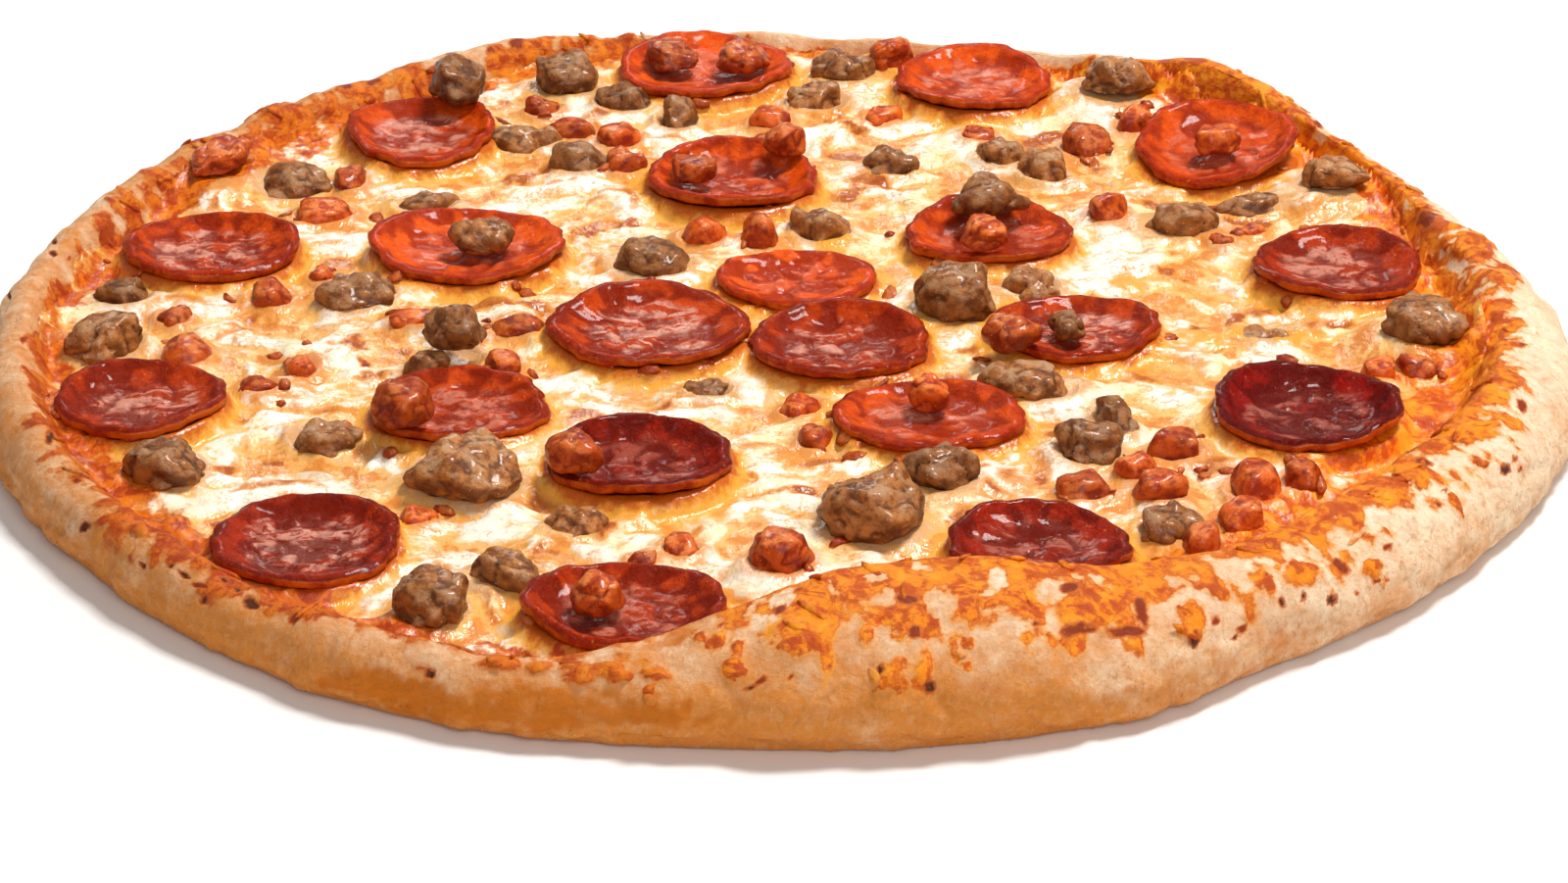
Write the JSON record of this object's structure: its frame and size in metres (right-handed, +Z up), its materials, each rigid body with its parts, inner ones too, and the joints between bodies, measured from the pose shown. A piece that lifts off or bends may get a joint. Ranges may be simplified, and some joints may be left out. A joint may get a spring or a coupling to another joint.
{
  "type": "meat pizza",
  "caption": "Whole round meat pizza: puffed baked crust, melted cheese, pepperoni slices, sausage and bacon pieces. Rests flat on its underside.",
  "frame": {"origin": "middle of the crust's flat underside, where the pizza rests", "axes": "+Z up out of the pizza's top, +X across its width, +Y away from the side with the large puffed bubble in the rim"},
  "size_m": [0.3592, 0.3492, 0.0272],
  "materials": {
    "crust": "matte baked bread",
    "cheese": "melted, oily",
    "pepperoni": "oily",
    "sausage": "rough, slightly oily",
    "bacon": "oily"
  },
  "bodies": {
    "root": {"crust": "crust", "cheese": "cheese", "pepperoni_01": "pepperoni", "pepperoni_02": "pepperoni", "pepperoni_03": "pepperoni", "pepperoni_04": "pepperoni", "pepperoni_05": "pepperoni", "pepperoni_06": "pepperoni", "pepperoni_07": "pepperoni", "pepperoni_08": "pepperoni", "pepperoni_09": "pepperoni", "pepperoni_10": "pepperoni", "pepperoni_11": "pepperoni", "pepperoni_12": "pepperoni", "pepperoni_13": "pepperoni", "pepperoni_14": "pepperoni", "pepperoni_15": "pepperoni", "pepperoni_16": "pepperoni", "pepperoni_17": "pepperoni", "pepperoni_18": "pepperoni", "pepperoni_19": "pepperoni", "pepperoni_20": "pepperoni", "pepperoni_21": "pepperoni", "sausage_01": "sausage", "sausage_02": "sausage", "sausage_03": "sausage", "sausage_04": "sausage", "sausage_05": "sausage", "sausage_06": "sausage", "sausage_07": "sausage", "sausage_08": "sausage", "sausage_09": "sausage", "sausage_10": "sausage", "sausage_11": "sausage", "sausage_12": "sausage", "sausage_13": "sausage", "sausage_14": "sausage", "sausage_15": "sausage", "sausage_16": "sausage", "sausage_17": "sausage", "sausage_18": "sausage", "sausage_19": "sausage", "sausage_20": "sausage", "sausage_21": "sausage", "sausage_22": "sausage", "sausage_23": "sausage", "bacon_01": "bacon", "bacon_02": "bacon", "bacon_03": "bacon", "bacon_04": "bacon", "bacon_05": "bacon", "bacon_06": "bacon", "bacon_07": "bacon", "bacon_08": "bacon", "bacon_09": "bacon", "bacon_10": "bacon", "bacon_11": "bacon", "bacon_12": "bacon", "bacon_13": "bacon", "bacon_14": "bacon"}
  },
  "joints": []
}
